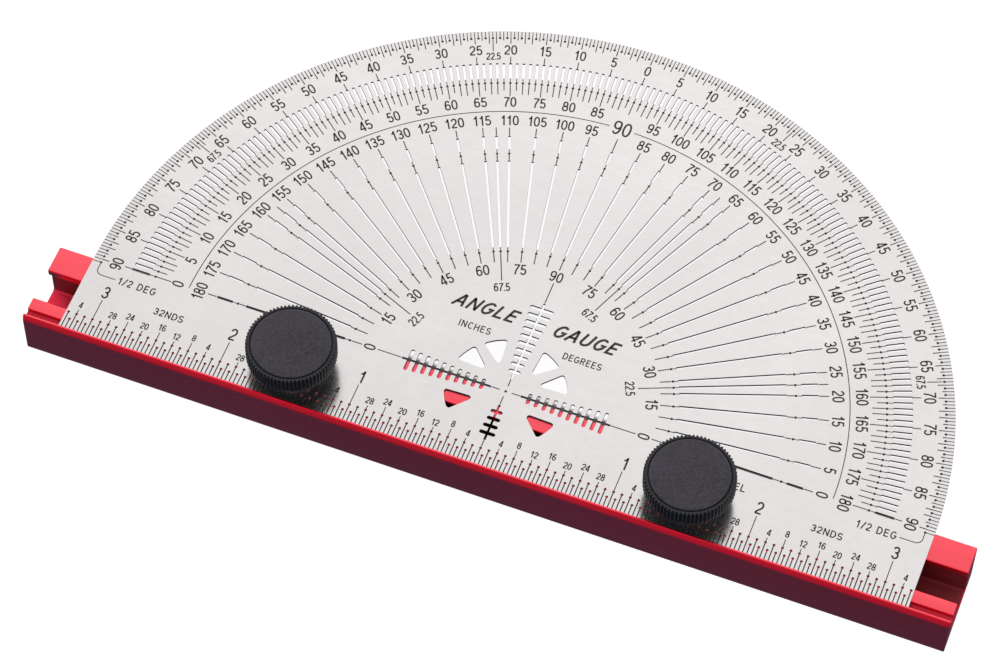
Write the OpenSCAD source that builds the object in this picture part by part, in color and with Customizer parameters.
// Semicircular marking protractor clamped on a T-slot bar.
// The bar runs along X, the blade spreads towards +Y, +Z is up.
// The frame's origin is the middle of the footprint, in the plane of the bar's base.

/* [Blade] */
// Radius of the semicircular rim, also half the width of the straight part (mm)
rim_radius = 81.5; // [80:0.1:83]
// How far the straight part runs behind the protractor's base line (mm)
blade_tail = 16.12; // [15.9:0.01:16.14]
// Thickness of the stainless sheet (mm)
blade_thickness = 0.45; // [0.4:0.05:0.8]
// How far the protractor's centre stands left of the bar's middle (mm)
blade_offset = 0.46; // [0:0.02:2]
// Width of the sight slots on the degree rings (mm)
sight_slot = 0.5; // [0.4:0.05:0.8]
// Corner radius of the sector windows (mm)
window_round = 0.5; // [0.2:0.05:0.9]

/* [Bar] */
// Length of the T-slot bar (mm)
bar_length = 177.8; // [150:0.1:200]
// Depth of the bar from its fence face to its front (mm)
bar_depth = 17; // [16.8:0.1:19]
// Height of the bar below the blade (mm)
bar_height = 9.85; // [9.2:0.05:12]
// How far the T slot's middle lies behind the fence face (mm)
slot_setback = 8.86; // [8.7:0.02:9]
// Width of the T slot's mouth (mm)
slot_mouth = 6.32; // [5:0.02:6.6]
// Width of the T slot below its lips (mm)
slot_width = 8.3; // [8.1:0.05:9]
// Thickness of the T slot's lips (mm)
slot_lip = 1.4; // [1.2:0.05:1.8]
// Depth of the T slot from the bar's top (mm)
slot_depth = 7.8; // [7:0.1:8.2]
// Height of the front lip that the blade's straight edge butts against (mm)
front_lip = 0.65; // [0.6:0.05:1.2]

/* [Clamps] */
// Distance of each clamp from the protractor's centre line (mm)
clamp_spacing = 38.1; // [30:0.1:50]
// Diameter of the bolts (mm)
bolt_diameter = 4.76; // [4.5:0.01:4.8]
// Width across the flats of the bolt heads (mm)
bolt_head = 7.94; // [7:0.01:8]
// Diameter of the knobs over their ribs (mm)
knob_diameter = 16.7; // [14:0.1:20]
// Height of the knobs' tops above the blade (mm)
knob_top = 7.9; // [7.9:0.1:10]
// Number of ribs round each knob
knob_ribs = 72; // [48:1:96]
// Diameter of the hub under each knob (mm)
hub_diameter = 10.4; // [9.5:0.1:12]

/* [Hidden] */

in = 25.4;
$fn = 96;
// from the design's own zero (protractor centre, bar top) to the row's frame
shift_y = -(rim_radius - bar_depth) / 2;
shift_z = bar_height;
clamp_y = -slot_setback;
washer_thickness = 0.7;
washer_diameter = 10.6;
blade_top = blade_thickness;
washer_top = blade_top + washer_thickness;
// the knob's levels
cap_top = blade_top + knob_top;
rib_top = cap_top - 0.2;
rib_base = rib_top - 4;
cap_floor = rib_top - 0.5;
cap_diameter = knob_diameter - 2;
recess_diameter = knob_diameter - 1.6;
spigot_diameter = 9.4;
// the front lip's rounded nose
nose_depth = 0.68;
nose_height = 1.1;
spigot_base = cap_floor - 1;
insert_diameter = 7.4;
insert_base = washer_top + 0.1;
insert_top = insert_base + 5.2;
bolt_top = insert_top - 0.1;
head_top = -slot_lip - 0.02;
head_height = 3.1;
eps = 0.01;

// ---------------------------------------------------------------- 2D helpers
function arc_points(c, r, a0, a1, n) =
    [for (i = [0:n]) [c[0] + r * cos(a0 + (a1 - a0) * i / n),
                      c[1] + r * sin(a0 + (a1 - a0) * i / n)]];

// a slot along the ray at angle a, from radius r0 to radius r1
module ray_slot(a, r0, r1, w) {
    rotate(a) translate([r0, -w / 2]) square([r1 - r0, w]);
}

// a crosswise slot at distance d along the ray at angle a
module cross_slot(a, d, half, w) {
    rotate(a) translate([d - w / 2, -half]) square([w, 2 * half]);
}

// one sector-shaped window: two straight sides and an outer arc
module window(p, q0, q1, r) {
    offset(r = window_round, $fn = 24) offset(delta = -window_round)
        intersection() {
            circle(r = r * in, $fn = 180);
            polygon([p * in, q0 * 1.35 * in - p * 0.35 * in, q1 * 1.35 * in - p * 0.35 * in]);
        }
}

module windows() {
    // beside the 90 degree arm
    window([0.117, 0.180], [0.137, 0.412], [0.292, 0.325], 0.437);
    // above and below the base line
    window([0.187, 0.122], [0.337, 0.280], [0.425, 0.130], 0.442);
    mirror([0, 1]) window([0.187, 0.122], [0.337, 0.280], [0.425, 0.130], 0.442);
}

// comb of crosswise slots on one arm; they widen outwards
module comb(a, first, count, w) {
    for (k = [0:count - 1])
        cross_slot(a, (first + k / 16) * in, (0.045 + 0.0052 * k) * in, w);
}

module blade_outline() {
    intersection() {
        circle(r = rim_radius, $fn = 720);
        translate([-rim_radius - 1, 0]) square([2 * rim_radius + 2, rim_radius + 1]);
    }
    translate([-rim_radius, -blade_tail]) square([2 * rim_radius, blade_tail]);
}

module blade_cuts() {
    w = sight_slot;
    // one slot at every whole degree
    for (a = [0:180]) ray_slot(a, 2.785 * in, 2.905 * in, w);
    // a short and a long slot at every five degrees
    for (a = [0:5:180]) {
        ray_slot(a, 2.120 * in, 2.225 * in, w);
        ray_slot(a, 1.240 * in, 2.000 * in, w);
    }
    // and at the half-quarter angles
    for (a = [22.5:45:157.5]) {
        ray_slot(a, 2.120 * in, 2.225 * in, w);
        ray_slot(a, 1.240 * in, 2.000 * in, w);
    }
    // base line and 90 degree arm, with their combs
    for (a = [0, 90, 180]) {
        ray_slot(a, 0.113 * in, 0.795 * in, 0.42);
        comb(a, 0.178, 10, 0.72);
    }
    // short arm behind the centre
    ray_slot(270, 0.120 * in, 0.430 * in, 0.42);
    comb(270, 0.183, 4, 0.72);
    // six windows round the centre
    windows();
    mirror([1, 0]) windows();
    // clearance holes for the bolts
    for (s = [-1, 1]) translate([s * clamp_spacing, clamp_y]) circle(d = bolt_diameter + 0.5, $fn = 48);
}

// ---------------------------------------------------------------- pieces
module protractor_blade() {
    color("#d9d9d8") translate([-blade_offset, shift_y, shift_z])
        linear_extrude(blade_thickness) difference() {
            blade_outline();
            blade_cuts();
        }
}

// the bar's section, drawn in the YZ plane as [y, z]
module bar_section() {
    m0 = clamp_y + slot_mouth / 2;
    m1 = clamp_y - slot_mouth / 2;
    w0 = clamp_y + slot_width / 2;
    w1 = clamp_y - slot_width / 2;
    lip_y = -(blade_tail + 0.03);
    r = 0.3;
    polygon(concat(
        // fence face and base
        arc_points([-0.3, -0.3], 0.3, 0, 90, 6),
        arc_points([m0 + r, -r], r, 90, 180, 6),
        [[m0, -slot_lip], [w0, -slot_lip]],
        [[w0, -slot_depth + 0.4], [w0 - 0.4, -slot_depth]],
        [[w1 + 0.4, -slot_depth], [w1, -slot_depth + 0.4]],
        [[w1, -slot_lip], [m1, -slot_lip]],
        arc_points([m1 - r, -r], r, 0, 90, 6),
        // front ledge, relief groove and front lip
        arc_points([lip_y + 1.5 + 0.2, -0.2], 0.2, 90, 180, 4),
        [[lip_y + 1.4, -0.6], [lip_y + 1.2, -0.8], [lip_y, -0.8]],
        arc_points([lip_y - 0.12, front_lip - 0.12], 0.12, 0, 90, 4),
        [for (t = [90:10:180]) [-bar_depth + nose_depth * (1 + cos(t)), front_lip - nose_height * (1 - sin(t))]],
        arc_points([-bar_depth + 0.5, -bar_height + 0.5], 0.5, 180, 270, 6),
        arc_points([-0.5, -bar_height + 0.5], 0.5, 270, 360, 6)
    ));
}

module t_bar() {
    color("#d8304a") translate([0, shift_y, shift_z])
        translate([-bar_length / 2, 0, 0]) rotate([90, 0, 90])
            linear_extrude(bar_length) bar_section();
}

// places its children on a clamp's axis; side is -1 left, 1 right
module at_clamp(side) {
    translate([side * clamp_spacing - blade_offset, clamp_y + shift_y, shift_z]) children();
}

module clamp_bolt(side) {
    color("#b9bcc0") at_clamp(side) {
        // head captive in the T slot, flats along the slot
        translate([0, 0, head_top - head_height])
            cylinder(d = bolt_head / cos(30), h = head_height, $fn = 6);
        translate([0, 0, head_top - eps]) cylinder(d = bolt_diameter, h = bolt_top - 0.5 - head_top + eps, $fn = 64);
        // lead-in at the tip
        translate([0, 0, bolt_top - 0.5]) cylinder(d1 = bolt_diameter, d2 = bolt_diameter - 1, h = 0.5, $fn = 64);
    }
}

module washer(side) {
    color("#c4c6c8") at_clamp(side) difference() {
        translate([0, 0, blade_top]) cylinder(d = washer_diameter, h = washer_thickness, $fn = 96);
        translate([0, 0, blade_top - 1]) cylinder(d = bolt_diameter + 0.34, h = washer_thickness + 2, $fn = 64);
    }
}

module knob_insert(side) {
    color("#c9a24a") at_clamp(side) difference() {
        translate([0, 0, insert_base]) cylinder(d = insert_diameter, h = insert_top - insert_base, $fn = 64);
        translate([0, 0, insert_base - 1]) cylinder(d = bolt_diameter + 0.1, h = insert_top - insert_base + 2, $fn = 64);
    }
}

// ribbed outline: one V groove between each pair of ribs
module rib_outline() {
    ro = knob_diameter / 2;
    ri = ro - 0.42;
    step = 360 / knob_ribs;
    polygon([for (i = [0:knob_ribs - 1]) for (p = [[-0.14, ro], [0.14, ro], [0.5, ri]])
        [p[1] * cos((i + p[0]) * step), p[1] * sin((i + p[0]) * step)]]);
}

module knob_body(side) {
    color("#232326") at_clamp(side) difference() {
        union() {
            // ribbed band with chamfered shoulders
            intersection() {
                translate([0, 0, rib_base]) linear_extrude(rib_top - rib_base) rib_outline();
                rotate_extrude($fn = 180) polygon([
                    [0, rib_base], [knob_diameter / 2 - 0.5, rib_base],
                    [knob_diameter / 2 + 0.1, rib_base + 0.6],
                    [knob_diameter / 2 + 0.1, rib_top - 0.25],
                    [knob_diameter / 2 - 0.15, rib_top], [0, rib_top]
                ]);
            }
            // hub that bears on the washer
            translate([0, 0, washer_top]) cylinder(d1 = hub_diameter - 0.6, d2 = hub_diameter, h = 0.3, $fn = 96);
            translate([0, 0, washer_top + 0.3]) cylinder(d = hub_diameter, h = rib_base - washer_top - 0.3 + eps, $fn = 96);
        }
        // pocket of the threaded insert
        translate([0, 0, washer_top - 1]) cylinder(d = insert_diameter + 0.06, h = insert_top - washer_top + 1 + 0.02, $fn = 64);
        // bore for the cap's spigot
        translate([0, 0, insert_top]) cylinder(d = spigot_diameter, h = cap_top - insert_top, $fn = 96);
        // recess for the cap
        translate([0, 0, cap_floor]) cylinder(d = recess_diameter, h = 2, $fn = 144);
    }
}

module knob_cap(side) {
    color("#3a3a3f") at_clamp(side) {
        translate([0, 0, cap_floor]) cylinder(d = cap_diameter, h = cap_top - 0.25 - cap_floor, $fn = 144);
        translate([0, 0, cap_top - 0.25]) cylinder(d1 = cap_diameter, d2 = cap_diameter - 0.4, h = 0.25, $fn = 144);
        translate([0, 0, spigot_base]) cylinder(d = spigot_diameter, h = cap_floor - spigot_base + eps, $fn = 96);
    }
}

module clamp_bolt_left() { clamp_bolt(-1); }
module clamp_bolt_right() { clamp_bolt(1); }
module washer_left() { washer(-1); }
module washer_right() { washer(1); }
module knob_insert_left() { knob_insert(-1); }
module knob_insert_right() { knob_insert(1); }
module knob_body_left() { knob_body(-1); }
module knob_body_right() { knob_body(1); }
module knob_cap_left() { knob_cap(-1); }
module knob_cap_right() { knob_cap(1); }

t_bar();
protractor_blade();
clamp_bolt_left();
clamp_bolt_right();
washer_left();
washer_right();
knob_insert_left();
knob_insert_right();
knob_body_left();
knob_body_right();
knob_cap_left();
knob_cap_right();
